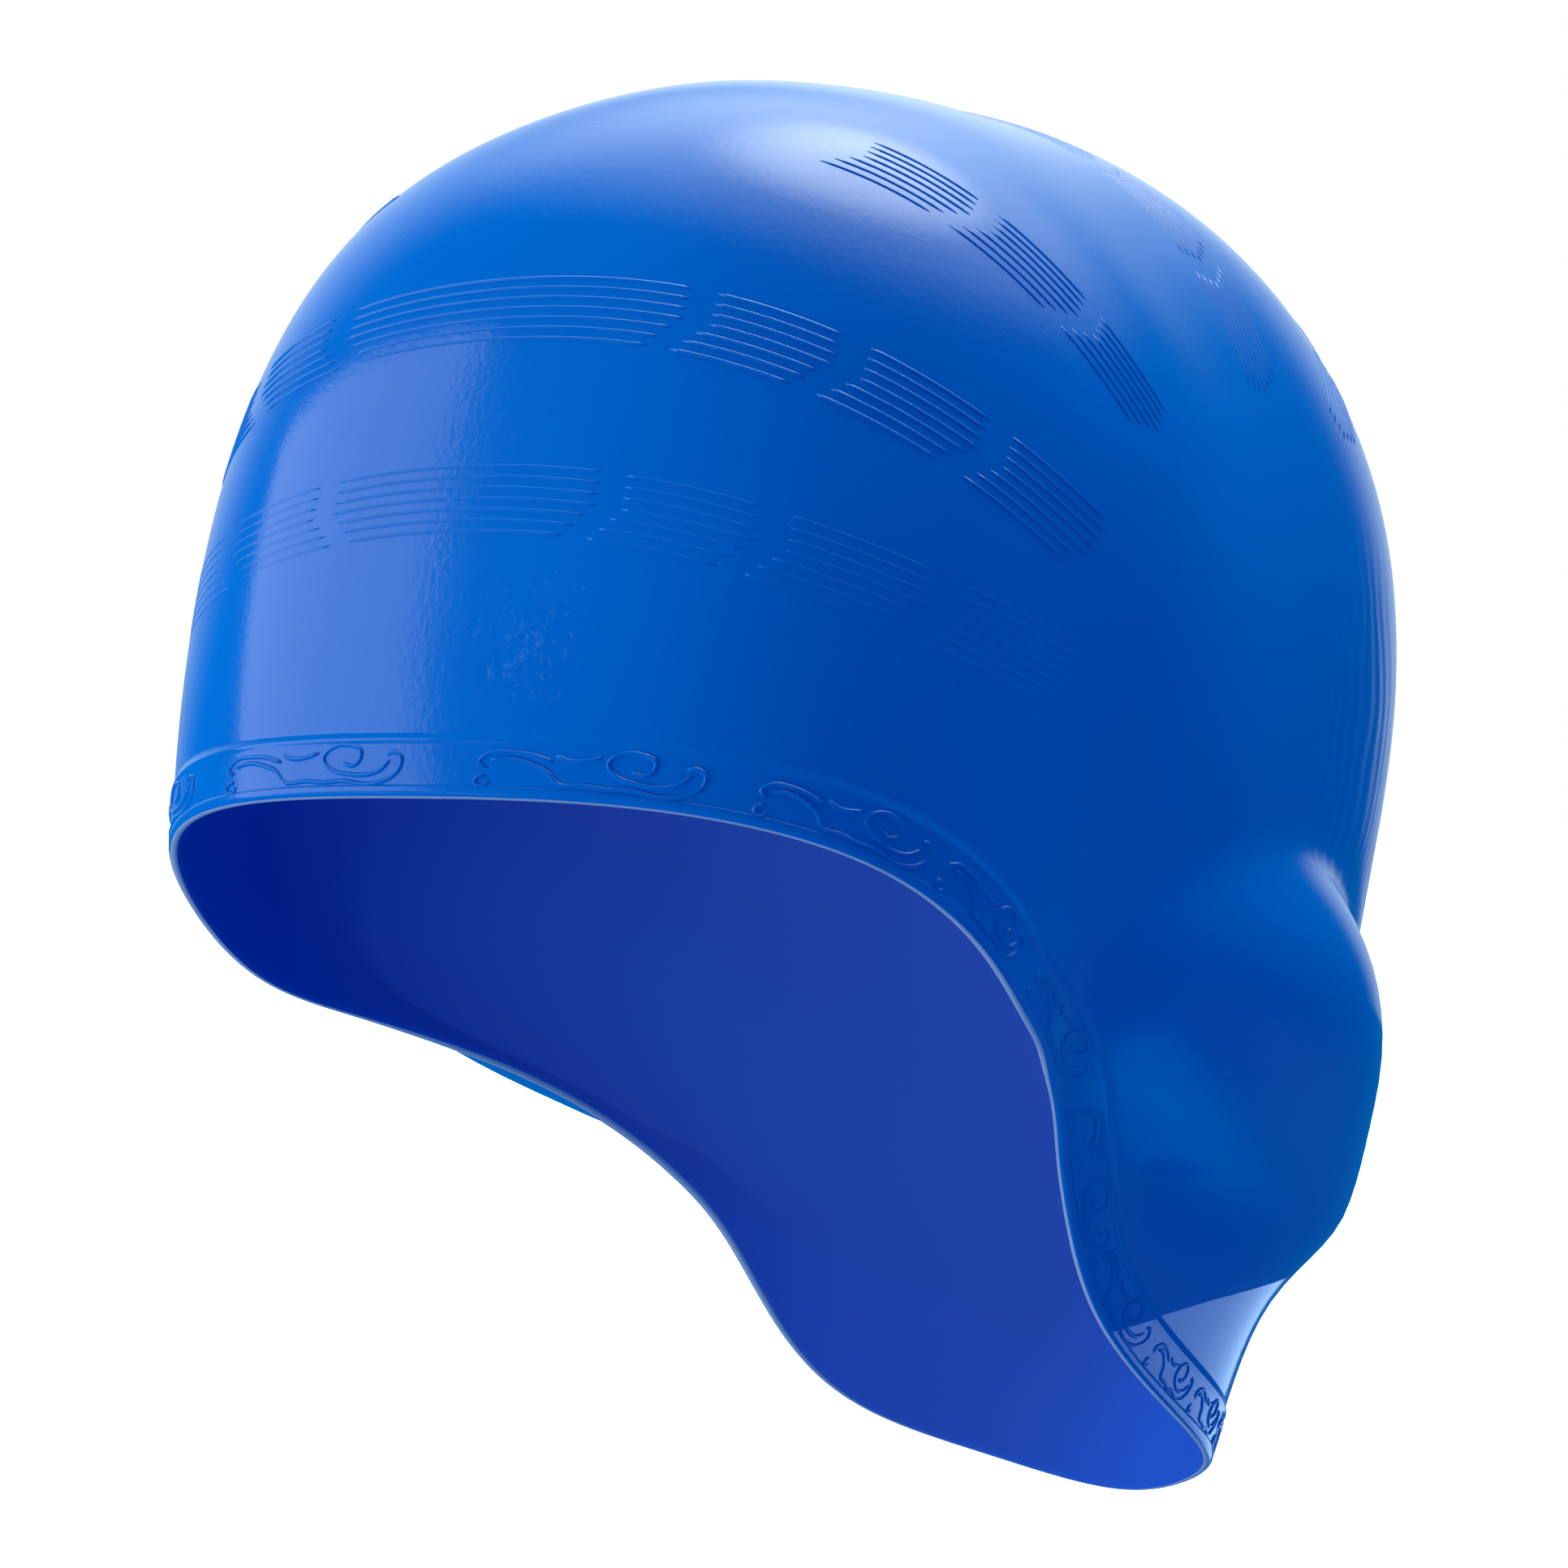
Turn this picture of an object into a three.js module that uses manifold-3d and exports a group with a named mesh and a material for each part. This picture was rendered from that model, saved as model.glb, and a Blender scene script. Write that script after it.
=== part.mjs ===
// A moulded silicone swim cap with ear pockets and a nape flap, as one hollow solid.
// Millimetres, +Z up. The wearer looks along -Y, and the wearer's left is +X.
// The origin is the highest point of the hollow, where the cap sits on the head.
import * as THREE from 'three';
import { mergeVertices } from 'three/addons/utils/BufferGeometryUtils.js';
import Module from 'manifold-3d';

// Overall sizes of the outside, without the ear pockets
const CAP_LENGTH = 204;
const CAP_WIDTH = 161;
const CAP_HEIGHT = 228;
const WALL = 1.2;

// Ear pocket: how far it stands out, and the roundness of the crease round it
const POCKET_DEPTH = 18.2;
const CREASE_ROUNDNESS = 1.6;
// The waist above the nape's hem, under the pockets
const NAPE_TUCK = 5.4;

// Raised band along the hem, and the bead on its edge
const BAND_WIDTH = 8.6;
const BAND_RISE = 0.35;
const BAND_STEP = 0.5;
const BEAD_WIDTH = 1.5;
const BEAD_RISE = 0.3;

// Raised ribs, in groups
const RIBS = 7;
const RIB_PITCH = 1.6;
const RIB_HEIGHT = 0.55;
const RIB_VALLEY = 0.25;
const RIB_ROOT = 0.8 * WALL;

// The head tables below are drawn in head units, and these spans say how many the cap measures each way
const SPAN = { width: 1.72, length: 2.18, height: 2.435 };
const CROWN = 1.045;

// Radius of the dome in head units: down is the angle from the crown, the columns go from front to back
const DOME = [
  { down: 22, front: 1.093, temple: 1.073, side: 1.031, behind: 1.066, back: 1.114 },
  { down: 44, front: 1.089, temple: 1.107, side: 0.97, behind: 1.08, back: 1.14 },
  { down: 66, front: 1.01, temple: 1.06, side: 0.905, behind: 1.056, back: 1.17 },
  { down: 88, front: 1.015, temple: 1.008, side: 0.86, behind: 1.0, back: 1.152 },
  { down: 112, front: 1.07, temple: 1.0, side: 0.843, behind: 0.93, back: 1.111 },
  { down: 140, front: 1.12, temple: 0.99, side: 0.83, behind: 0.90, back: 1.08 },
];

// The hem on the wearer's left in head units, from the middle of the forehead to the middle of the nape
const HEM = [
  { out: 0, fore: 1.06, up: -0.10 },
  { out: 0.30, fore: 1.035, up: -0.107 },
  { out: 0.54, fore: 0.95, up: -0.14 },
  { out: 0.695, fore: 0.82, up: -0.21 },
  { out: 0.755, fore: 0.685, up: -0.31 },
  { out: 0.745, fore: 0.55, up: -0.41 },
  { out: 0.68, fore: 0.39, up: -0.475 },
  { out: 0.595, fore: 0.23, up: -0.535 },
  { out: 0.51, fore: 0.07, up: -0.61 },
  { out: 0.43, fore: -0.075, up: -0.71 },
  { out: 0.375, fore: -0.20, up: -0.83 },
  { out: 0.355, fore: -0.32, up: -0.98 },
  { out: 0.365, fore: -0.47, up: -1.115 },
  { out: 0.35, fore: -0.68, up: -1.24 },
  { out: 0.21, fore: -0.90, up: -1.34 },
  { out: 0, fore: -0.985, up: -1.39 },
];
// The dome bends towards the hem from this share of the way down, ever more
const HEM_BEND = { from: 0.5, power: 1.92 };

// Ear pocket in degrees: its centre, its reach each way, and how its rear edge leans
const POCKET = { around: 118, down: 123.2, front: 46, rear: 31.3, above: 20.2, below: 25.8, lean: -0.94 };
// The pocket fades out over the last stretch above the hem
const POCKET_FADE = 0.14;
// The tuck's place and width as shares of the way down to the hem, and the directions where it starts
const TUCK = { at: 0.928, width: 0.053, from: 108, full: 135 };

// Rows of rib groups: angle from the crown to the front, and how the row sweeps down at its sides; then
// the sideways angles of the middle group, the side groups and the gaps, and how many groups lie each side
const RIB_ROWS = [
  { name: 'brow', tilt: 70.3, sweep: 13, middle: 14.3, group: 12.2, gap: 2.2, sides: 3 },
  { name: 'forehead', tilt: 53.3, sweep: 8.5, middle: 17.8, group: 10.8, gap: 2.3, sides: 3 },
  { name: 'front_crown', tilt: 32, sweep: 0, middle: 22.3, group: 9.8, gap: 1.9, sides: 3 },
  { name: 'rear_crown', tilt: -13, sweep: -8, middle: 23, group: 12.8, gap: 2.2, sides: 2 },
  { name: 'back', tilt: -45, sweep: 0, middle: 22, group: 10.5, gap: 2.2, sides: 2 },
];
const SWEEP_ANGLE = 60;
// How far the first and the last rib end outward of the middle one
const END_SHAPE = { first: -0.5 * RIB_PITCH, last: -2.9 * RIB_PITCH };

// How finely the surface is drawn
const COLUMNS = 44;
const OUTER_ROWS = 14;
const INNER_ROWS = 12;
const HEM_SAMPLES = 360;
const WALK_STEP = 2.2;
const SEAM_TOLERANCE = 0.02;
const SEGMENT_ANGLE = 8;

const UNIT = new THREE.Vector3(CAP_WIDTH / SPAN.width, CAP_LENGTH / SPAN.length, CAP_HEIGHT / SPAN.height);
const HEAD_UNIT = (UNIT.x + UNIT.y + UNIT.z) / 3;
const CENTRE_DROP = CROWN * UNIT.z - WALL;
const rad = THREE.MathUtils.degToRad;
const COLUMN_NAMES = ['front', 'temple', 'side', 'behind', 'back'];

// Natural cubic spline through the points (xs, ys)
function spline(xs, ys) {
  const n = xs.length;
  const bend = new Array(n).fill(0);
  const work = new Array(n).fill(0);
  for (let i = 1; i < n - 1; i++) {
    const share = (xs[i] - xs[i - 1]) / (xs[i + 1] - xs[i - 1]);
    const p = share * bend[i - 1] + 2;
    const rise = (ys[i + 1] - ys[i]) / (xs[i + 1] - xs[i]) - (ys[i] - ys[i - 1]) / (xs[i] - xs[i - 1]);
    bend[i] = (share - 1) / p;
    work[i] = (6 * rise / (xs[i + 1] - xs[i - 1]) - share * work[i - 1]) / p;
  }
  for (let i = n - 2; i >= 0; i--) bend[i] = bend[i] * bend[i + 1] + work[i];
  return (x) => {
    let k = 0;
    while (k < n - 2 && x > xs[k + 1]) k++;
    const h = xs[k + 1] - xs[k];
    const a = (xs[k + 1] - x) / h;
    const b = (x - xs[k]) / h;
    return a * ys[k] + b * ys[k + 1] + ((a ** 3 - a) * bend[k] + (b ** 3 - b) * bend[k + 1]) * h * h / 6;
  };
}

function smooth(t) {
  const c = THREE.MathUtils.clamp(t, 0, 1);
  return c * c * (3 - 2 * c);
}

// Each dome row as a sum of cosines round the head that passes through its five columns
function cosineTerms(row) {
  const last = COLUMN_NAMES.length - 1;
  return COLUMN_NAMES.map((unused, k) => {
    let sum = 0;
    COLUMN_NAMES.forEach((name, j) => {
      const end = j === 0 || j === last ? 0.5 : 1;
      sum += end * row[name] * Math.cos(Math.PI * j * k / last);
    });
    return sum * 2 / last * (k === 0 || k === last ? 0.5 : 1);
  });
}

const domeTerms = (() => {
  const rows = DOME.map((row) => ({ down: rad(row.down), terms: cosineTerms(row) }));
  return COLUMN_NAMES.map((unused, k) => {
    const crown = { down: 0, value: k === 0 ? CROWN : 0 };
    const front = rows.map((row) => ({ down: row.down, value: row.terms[k] }));
    const mirror = k % 2 === 0 ? 1 : -1;
    const behind = front.map((p) => ({ down: -p.down, value: p.value * mirror })).reverse();
    const knots = [...behind, crown, ...front];
    return spline(knots.map((p) => p.down), knots.map((p) => p.value));
  });
})();

function dome(around, down) {
  return domeTerms.reduce((sum, term, k) => sum + term(down) * Math.cos(k * around), 0);
}

// The hem, sampled evenly along its length on the wearer's left
const hem = (() => {
  const along = [0];
  for (let i = 1; i < HEM.length; i++) {
    const a = HEM[i - 1];
    const b = HEM[i];
    along.push(along[i - 1] + Math.hypot(b.out - a.out, b.fore - a.fore, b.up - a.up));
  }
  const total = along[HEM.length - 1];
  // carried past both ends as its mirror image, so that it crosses the middle plane squarely
  const wrap = (name, sign) => {
    const knots = [];
    HEM.forEach((p, i) => {
      if (i > 0) knots.push([-along[i], sign * p[name]], [2 * total - along[i - 1], sign * HEM[i - 1][name]]);
      knots.push([along[i], p[name]]);
    });
    knots.sort((a, b) => a[0] - b[0]);
    return spline(knots.map((k) => k[0]), knots.map((k) => k[1]));
  };
  const out = wrap('out', -1);
  const fore = wrap('fore', 1);
  const up = wrap('up', 1);
  const points = [];
  for (let i = 0; i <= HEM_SAMPLES; i++) {
    const t = total * i / HEM_SAMPLES;
    const p = new THREE.Vector3(out(t), -fore(t), up(t));
    const around = i === 0 ? 0 : i === HEM_SAMPLES ? Math.PI : Math.atan2(p.x, -p.y);
    points.push({ around, down: Math.acos(p.z / p.length()), reach: p.length() });
  }
  return points;
})();

// The hem's angle down and its reach, in the direction around
function hemAt(around) {
  const a = Math.abs(around);
  let low = 0;
  let high = hem.length - 1;
  while (high - low > 1) {
    const middle = (low + high) >> 1;
    if (hem[middle].around <= a) low = middle;
    else high = middle;
  }
  const t = (a - hem[low].around) / (hem[high].around - hem[low].around);
  return {
    down: THREE.MathUtils.lerp(hem[low].down, hem[high].down, t),
    reach: THREE.MathUtils.lerp(hem[low].reach, hem[high].reach, t),
  };
}

// How far the ear pocket lifts the surface, in head units
function pocket(around, down) {
  const drop = down - rad(POCKET.down);
  const turn = (Math.abs(around) - rad(POCKET.around)) * Math.sin(down) + POCKET.lean * drop;
  const across = turn / rad(turn < 0 ? POCKET.front : POCKET.rear);
  const along = drop / rad(drop < 0 ? POCKET.above : POCKET.below);
  const soft = CREASE_ROUNDNESS / HEAD_UNIT;
  const rise = POCKET_DEPTH / HEAD_UNIT * (1 - across ** 2 - along ** 2) / soft;
  return soft * (Math.max(rise, 0) + Math.log1p(Math.exp(-Math.abs(rise))));
}

function wrapAngle(angle) {
  return Math.atan2(Math.sin(angle), Math.cos(angle));
}

// The outer surface, from the centre of the head, in the direction around and down
function surface(around, down) {
  const a = wrapAngle(around);
  const edge = hemAt(a);
  const share = down / edge.down;
  const bend = THREE.MathUtils.clamp((share - HEM_BEND.from) / (1 - HEM_BEND.from), 0, 1) ** HEM_BEND.power;
  const bent = (edge.reach - dome(a, edge.down)) * bend;
  const fade = 1 - smooth((share - 1 + POCKET_FADE) / POCKET_FADE);
  const nape = smooth((Math.abs(a) - rad(TUCK.from)) / rad(TUCK.full - TUCK.from));
  const tuck = NAPE_TUCK / HEAD_UNIT * nape * Math.exp(-(((share - TUCK.at) / TUCK.width) ** 2));
  const reach = dome(a, down) + bent + pocket(a, down) * fade - tuck;
  return new THREE.Vector3(
    reach * Math.sin(down) * Math.sin(a) * UNIT.x,
    -reach * Math.sin(down) * Math.cos(a) * UNIT.y,
    reach * Math.cos(down) * UNIT.z,
  );
}

const NUDGE = 0.004;

// The surface's two tangents and its outward normal
function tangents(around, down) {
  const a = surface(around + NUDGE, down).sub(surface(around - NUDGE, down)).divideScalar(2 * NUDGE);
  const d = surface(around, down + NUDGE).sub(surface(around, down - NUDGE)).divideScalar(2 * NUDGE);
  const normal = new THREE.Vector3().crossVectors(d, a).normalize();
  return { a, d, normal };
}

// Walks a distance over the surface from a place in a direction, and gives the new place
function walk(place, direction, distance) {
  const steps = Math.max(1, Math.ceil(Math.abs(distance) / WALK_STEP));
  let { around, down } = place;
  for (let i = 0; i < steps; i++) {
    const { a, d, normal } = tangents(around, down);
    const flat = direction.clone().addScaledVector(normal, -direction.dot(normal)).normalize();
    const aa = a.dot(a);
    const ad = a.dot(d);
    const dd = d.dot(d);
    const det = aa * dd - ad * ad;
    const step = distance / steps;
    around += step * (flat.dot(a) * dd - flat.dot(d) * ad) / det;
    down += step * (flat.dot(d) * aa - flat.dot(a) * ad) / det;
  }
  return { around, down };
}

// A point of the solid: a place on the surface, moved outward, with the origin at the top of the hollow
function lift(place, offset) {
  const point = surface(place.around, place.down);
  const normal = place.down < NUDGE ? new THREE.Vector3(0, 0, 1) : tangents(place.around, place.down).normal;
  point.addScaledVector(normal, offset);
  point.z -= CENTRE_DROP;
  return point;
}

// Places along the hem, evenly spaced all the way round, each with its direction into the cap
function hemPlaces() {
  const places = [];
  const half = COLUMNS / 2;
  for (let i = 0; i < COLUMNS; i++) {
    const mirrored = i > half;
    const j = Math.round((mirrored ? COLUMNS - i : i) * HEM_SAMPLES / half);
    const here = hem[j];
    const before = hem[Math.max(j - 1, 0)];
    const after = hem[Math.min(j + 1, HEM_SAMPLES)];
    const sign = mirrored ? -1 : 1;
    const place = { around: here.around, down: here.down };
    const along = surface(after.around, after.down).sub(surface(before.around, before.down));
    if (j === 0 || j === HEM_SAMPLES) along.set(1, 0, 0);
    const inset = { around: here.around, down: here.down - NUDGE };
    const normal = tangents(inset.around, inset.down).normal;
    const inward = new THREE.Vector3().crossVectors(normal, along).normalize();
    if (inward.z < 0) inward.negate();
    inward.x *= sign;
    places.push({ around: place.around * sign, down: place.down, inward });
  }
  return places;
}

// The stations of one column: from the crown down the outside, round the bead and up the inside
function column(place) {
  const top = walk(place, place.inward, BAND_WIDTH);
  const at = (distance) => walk(place, place.inward, distance);
  const points = [];
  for (let i = 1; i <= OUTER_ROWS; i++) {
    points.push(lift({ around: top.around, down: top.down * i / OUTER_ROWS }, 0));
  }
  points.push(lift(at(BAND_WIDTH - BAND_STEP), BAND_RISE));
  points.push(lift(at(BEAD_WIDTH + BAND_STEP), BAND_RISE));
  points.push(lift(at(BEAD_WIDTH * 0.6), BAND_RISE + BEAD_RISE));
  points.push(lift(place, 0));
  points.push(lift(at(BEAD_WIDTH * 0.4), -WALL));
  points.push(lift(at(BAND_WIDTH), -WALL));
  for (let i = INNER_ROWS - 1; i >= 1; i--) {
    points.push(lift({ around: top.around, down: top.down * i / INNER_ROWS }, -WALL));
  }
  return points;
}

// A closed body from columns of points with one shared point at each end
function closeColumns(columns, first, last) {
  const rows = columns[0].length;
  const vertices = [first, ...columns.flat(), last];
  const index = [];
  const at = (i, j) => 1 + (i % columns.length) * rows + j;
  const end = vertices.length - 1;
  for (let i = 0; i < columns.length; i++) {
    index.push(0, at(i, 0), at(i + 1, 0));
    for (let j = 0; j < rows - 1; j++) {
      index.push(at(i, j), at(i, j + 1), at(i + 1, j + 1));
      index.push(at(i, j), at(i + 1, j + 1), at(i + 1, j));
    }
    index.push(at(i, rows - 1), end, at(i + 1, rows - 1));
  }
  return body(vertices, index);
}

function body(vertices, index) {
  const geometry = new THREE.BufferGeometry();
  geometry.setFromPoints(vertices);
  geometry.setIndex(index);
  return geometry;
}

function shell() {
  const columns = hemPlaces().map(column);
  const crown = new THREE.Vector3(0, 0, WALL);
  return closeColumns(columns, crown, new THREE.Vector3(0, 0, 0));
}

// The place on the surface at an angle forward of the crown and an angle sideways
function placeAt(forward, sideways) {
  const d = new THREE.Vector3(
    Math.sin(sideways),
    -Math.cos(sideways) * Math.sin(forward),
    Math.cos(sideways) * Math.cos(forward),
  );
  return { around: Math.atan2(d.x, -d.y), down: Math.acos(d.z) };
}

// A place in a row of ribs: sideways along it, and a distance down from its middle line
function ribPlace(row, sideways, distance) {
  const forward = (s) => rad(row.tilt + row.sweep * (s / rad(SWEEP_ANGLE)) ** 2);
  const here = placeAt(forward(sideways), sideways);
  if (distance === 0) return here;
  const next = placeAt(forward(sideways + NUDGE), sideways + NUDGE);
  const along = surface(next.around, next.down).sub(surface(here.around, here.down));
  const normal = tangents(here.around, here.down).normal;
  const away = new THREE.Vector3().crossVectors(along, normal).multiplyScalar(Math.sign(row.tilt));
  return walk(here, away.normalize(), distance);
}

// How far outward a line of a group ends, from the first rib over the middle one to the last
function endShift(share) {
  return share < 0 ? END_SHAPE.first * -share : END_SHAPE.last * share;
}

// One group of ribs: a ridged patch, whose underside lies inside the wall
function ribGroup(row, from, to) {
  const segments = Math.ceil((to - from) / SEGMENT_ANGLE);
  const lines = 2 * RIBS + 1;
  const halfWidth = RIBS * RIB_PITCH / 2;
  const middle = (from + to) / 2;
  const shared = from < 0 && to > 0;
  const perDegree = rad(1) * HEAD_UNIT;
  const edge = (angle, share) => {
    const side = shared ? Math.sign(angle) : Math.sign(middle);
    return angle + side * endShift(share) / perDegree;
  };
  const grid = (height) => {
    const points = [];
    for (let i = 0; i < lines; i++) {
      const share = (2 * i) / (lines - 1) - 1;
      for (let j = 0; j <= segments; j++) {
        const angle = THREE.MathUtils.lerp(edge(from, share), edge(to, share), j / segments);
        points.push(lift(ribPlace(row, rad(angle), share * halfWidth), height(i)));
      }
    }
    return points;
  };
  const top = grid((i) => (i % 2 === 1 ? RIB_HEIGHT : RIB_VALLEY));
  const bottom = grid(() => -RIB_ROOT);
  return closeSlab(top, bottom, lines, segments + 1, row.tilt < 0);
}

// A closed body between two grids of the same size
function closeSlab(top, bottom, rows, cols, flipped) {
  const vertices = [...top, ...bottom];
  const under = top.length;
  const index = [];
  const quad = (a, b, c, d) => {
    if (flipped) index.push(a, c, b, a, d, c);
    else index.push(a, b, c, a, c, d);
  };
  for (let i = 0; i < rows - 1; i++) {
    for (let j = 0; j < cols - 1; j++) {
      const a = i * cols + j;
      quad(a, a + cols, a + cols + 1, a + 1);
      quad(under + a, under + a + 1, under + a + cols + 1, under + a + cols);
    }
  }
  for (let j = 0; j < cols - 1; j++) {
    const b = (rows - 1) * cols + j;
    quad(j, j + 1, under + j + 1, under + j);
    quad(b + 1, b, under + b, under + b + 1);
  }
  for (let i = 0; i < rows - 1; i++) {
    const a = i * cols;
    const b = a + cols - 1;
    quad(a + cols, a, under + a, under + a + cols);
    quad(b, b + cols, under + b + cols, under + b);
  }
  return body(vertices, index);
}

function ribGroups() {
  const groups = [];
  for (const row of RIB_ROWS) {
    groups.push(ribGroup(row, -row.middle, row.middle));
    for (let k = 0; k < row.sides; k++) {
      const from = row.middle + row.gap + k * (row.group + row.gap);
      const to = from + row.group;
      groups.push(ribGroup(row, from, to));
      groups.push(ribGroup(row, -to, -from));
    }
  }
  return groups;
}

const wasm = await Module();
wasm.setup();

function toSolid(geometry) {
  const merged = mergeVertices(geometry);
  return new wasm.Manifold(new wasm.Mesh({
    numProp: 3,
    vertProperties: new Float32Array(merged.attributes.position.array),
    triVerts: new Uint32Array(merged.index.array),
  }));
}

function toGeometry(solid) {
  const mesh = solid.getMesh();
  const geometry = new THREE.BufferGeometry();
  geometry.setAttribute('position', new THREE.BufferAttribute(mesh.vertProperties, 3));
  geometry.setIndex(new THREE.BufferAttribute(mesh.triVerts, 1));
  return geometry;
}

function capShell() {
  let solid = toSolid(shell());
  for (const group of ribGroups()) solid = solid.add(toSolid(group));
  solid = solid.simplify(SEAM_TOLERANCE);
  const silicone = new THREE.MeshStandardMaterial({ color: 0x0057c2, roughness: 0.3, metalness: 0 });
  const mesh = new THREE.Mesh(toGeometry(solid), silicone);
  mesh.name = 'cap_shell';
  return mesh;
}

const cap = new THREE.Group();
cap.add(capShell());

export default cap;
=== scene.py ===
# Looks of a moulded silicone swim cap: its skin, ribs, rim band and the scroll relief on the band.
# Lengths in the tables are millimetres, angles are degrees, and the scene is in metres with +Z up.
# The wearer looks along -Y, and the wearer's left is +X.
import math

import bpy
import numpy as np
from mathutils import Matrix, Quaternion, Vector


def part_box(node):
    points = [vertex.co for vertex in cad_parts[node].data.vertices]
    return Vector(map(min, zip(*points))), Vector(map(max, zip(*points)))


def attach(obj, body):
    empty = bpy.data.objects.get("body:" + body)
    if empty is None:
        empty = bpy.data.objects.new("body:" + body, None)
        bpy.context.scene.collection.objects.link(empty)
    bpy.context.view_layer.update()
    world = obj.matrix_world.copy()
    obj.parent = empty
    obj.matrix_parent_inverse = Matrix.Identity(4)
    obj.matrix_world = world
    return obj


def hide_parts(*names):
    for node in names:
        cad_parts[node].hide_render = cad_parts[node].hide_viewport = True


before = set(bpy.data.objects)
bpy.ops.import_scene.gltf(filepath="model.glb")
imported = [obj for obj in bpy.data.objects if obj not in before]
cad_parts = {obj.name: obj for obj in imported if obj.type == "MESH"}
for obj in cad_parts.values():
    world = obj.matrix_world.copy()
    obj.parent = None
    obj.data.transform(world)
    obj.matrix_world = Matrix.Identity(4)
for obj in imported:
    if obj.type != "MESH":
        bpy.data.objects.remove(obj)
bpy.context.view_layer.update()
SHELL_LOW, SHELL_HIGH = (np.array(corner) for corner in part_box("cap_shell"))

MM = 0.001
BODY = "root"
NODE = "cap_shell"

# The wall, the ear pocket and the waist above the nape's hem
WALL = 1.2
POCKET_DEPTH = 18.2
CREASE_ROUNDNESS = 1.6
NAPE_TUCK = 5.4
# How far the solid's relief stands out at the ends of its box, along X, Y and Z
RELIEF_AT_BOX = (0.0, 0.35, 0.5)

# Raised band along the hem, the line on its upper edge and the bead on the hem
BAND_WIDTH = 8.6
BAND_RISE = 0.35
BAND_STEP = 1.4
BORDER_WIDTH = 0.8
BORDER_RISE = 0.14
BEAD_WIDTH = 1.5
BEAD_RISE = 0.3

# Raised ribs, in groups
RIBS = 7
RIB_PITCH = 1.6
RIB_WIDTH = 0.72
RIB_HEIGHT = 0.22

# The tables are drawn in head units. CROWN is the crown's height over the head's centre, and FIRST_UNIT a
# first guess at the millimetres in a head unit.
CROWN = 1.045
FIRST_UNIT = 93.6

# The dome, its bend, the hem, the ear pocket and the waist come from fits to the photograph, rounded.
# Radius of the dome in head units: the angle down from the crown, then five directions from front to back
DOME_DOWN = (22, 44, 66, 88, 112, 140)
DOME = {
    "front": (1.093, 1.089, 1.01, 1.015, 1.07, 1.12),
    "temple": (1.073, 1.107, 1.06, 1.008, 1.0, 0.99),
    "side": (1.031, 0.97, 0.905, 0.86, 0.843, 0.83),
    "behind": (1.066, 1.08, 1.056, 1.0, 0.93, 0.90),
    "back": (1.114, 1.14, 1.17, 1.152, 1.111, 1.08),
}

# The hem on the wearer's left in head units, from the middle of the forehead to the middle of the nape
HEM = {
    "out": (0, 0.30, 0.54, 0.695, 0.755, 0.745, 0.68, 0.595, 0.51, 0.43, 0.375, 0.355, 0.365, 0.35, 0.21, 0),
    "fore": (1.06, 1.035, 0.95, 0.82, 0.685, 0.55, 0.39, 0.23, 0.07, -0.075, -0.20, -0.32, -0.47, -0.68,
             -0.90, -0.985),
    "up": (-0.10, -0.107, -0.14, -0.21, -0.31, -0.41, -0.475, -0.535, -0.61, -0.71, -0.83, -0.98, -1.115,
           -1.24, -1.34, -1.39),
}
# The dome bends towards the hem from this share of the way down, ever more
BEND_FROM, BEND_POWER = 0.5, 1.92
# Ear pocket in degrees: its centre, its reach each way, and how its rear edge leans
POCKET = {
    "around": 118, "down": 123.2, "front": 46, "rear": 31.3, "above": 20.2, "below": 25.8, "lean": -0.94,
}
# The pocket fades out over this last share of the way down to the hem
POCKET_FADE = 0.14
# The waist's place and width as shares of the way down, and the directions where it starts and is full
TUCK = {"at": 0.928, "width": 0.053, "start": 108, "full": 135}

# Rows of rib groups: angle from the crown to the front, how the row sweeps down at its sides, the sideways
# angles of the middle group, of the side groups and of the gaps, the groups each side, and how much of the
# ribs' height the middle group and the side groups have
RIB_ROWS = (
    {"name": "brow", "tilt": 70.3, "sweep": 13, "middle": 14.3, "group": 12.2, "gap": 2.2, "sides": 3,
     "relief": (0.75, 0.6)},
    {"name": "forehead", "tilt": 53.3, "sweep": 8.5, "middle": 17.8, "group": 10.8, "gap": 2.3, "sides": 3,
     "relief": (0.9, 1.15)},
    {"name": "front_crown", "tilt": 32, "sweep": 0, "middle": 22.3, "group": 9.8, "gap": 1.9, "sides": 3,
     "relief": (0.3, 1.2)},
    {"name": "rear_crown", "tilt": -13, "sweep": -8, "middle": 23, "group": 12.8, "gap": 2.2, "sides": 2,
     "relief": (0.5, 0.9)},
    {"name": "back", "tilt": -45, "sweep": 0, "middle": 22, "group": 10.5, "gap": 2.2, "sides": 2,
     "relief": (1.0, 1.0)},
)
SWEEP_ANGLE = 60
# How far a group's upper and lower borders end outward of its middle line
END_FIRST, END_LAST = -0.8, -4.6
# The spacing of the points along a rib, and the fewest of them
RIB_STEP, RIB_POINTS = 1.4, 9

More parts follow.
